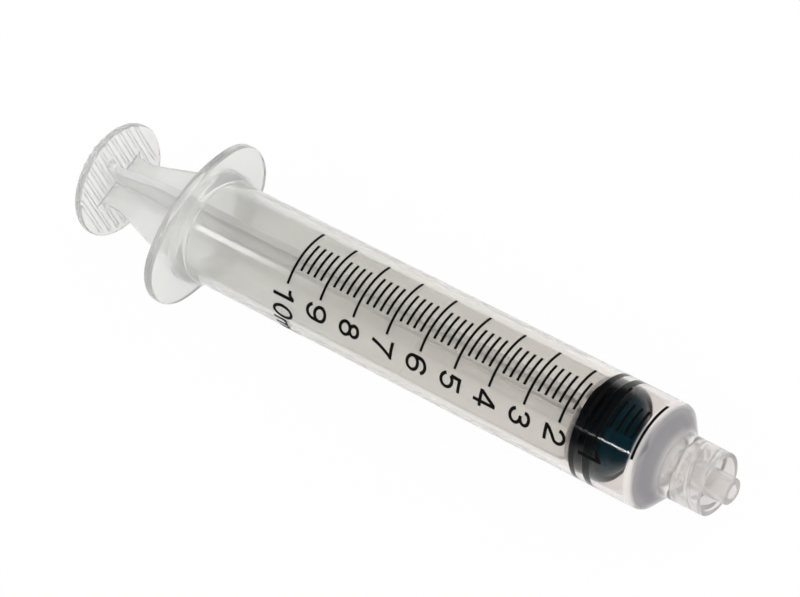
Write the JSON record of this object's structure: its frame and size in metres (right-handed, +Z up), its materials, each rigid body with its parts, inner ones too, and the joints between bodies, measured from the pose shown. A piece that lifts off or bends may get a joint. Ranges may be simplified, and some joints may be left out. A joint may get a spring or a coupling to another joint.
{
  "type": "luer lock syringe",
  "caption": "Clear plastic syringe with a ribbed plunger rod, black rubber stopper, oval finger flange, printed scale and a threaded luer lock tip.",
  "frame": {"origin": "centre of the end face of the male luer tip", "axes": "+X along the barrel's axis and out of the tip, +Y along the wide finger flange, +Z up through the middle of the printed scale"},
  "size_m": [0.1128, 0.0272, 0.0184],
  "materials": {
    "clear_barrel": "clear polished",
    "rod_plastic": "translucent satin",
    "black_rubber": "smooth, lightly oiled",
    "black_ink": "printed ink"
  },
  "bodies": {
    "barrel": {"barrel": "clear_barrel", "major_lines": "black_ink", "minor_lines": "black_ink", "numerals": "black_ink"},
    "stopper": {"stopper": "black_rubber"},
    "rod": {"plunger_rod": "rod_plastic"}
  },
  "joints": [
    {"name": "plunger_slide", "type": "slide", "parent": "barrel", "child": "stopper", "axis": [1, 0, 0], "range_m": [-0.069, 0.006]},
    {"name": "rod_swivel", "type": "hinge", "parent": "stopper", "child": "rod", "pos_m": [-0.01958, 0, 0], "axis": [1, 0, 0], "continuous": true}
  ]
}
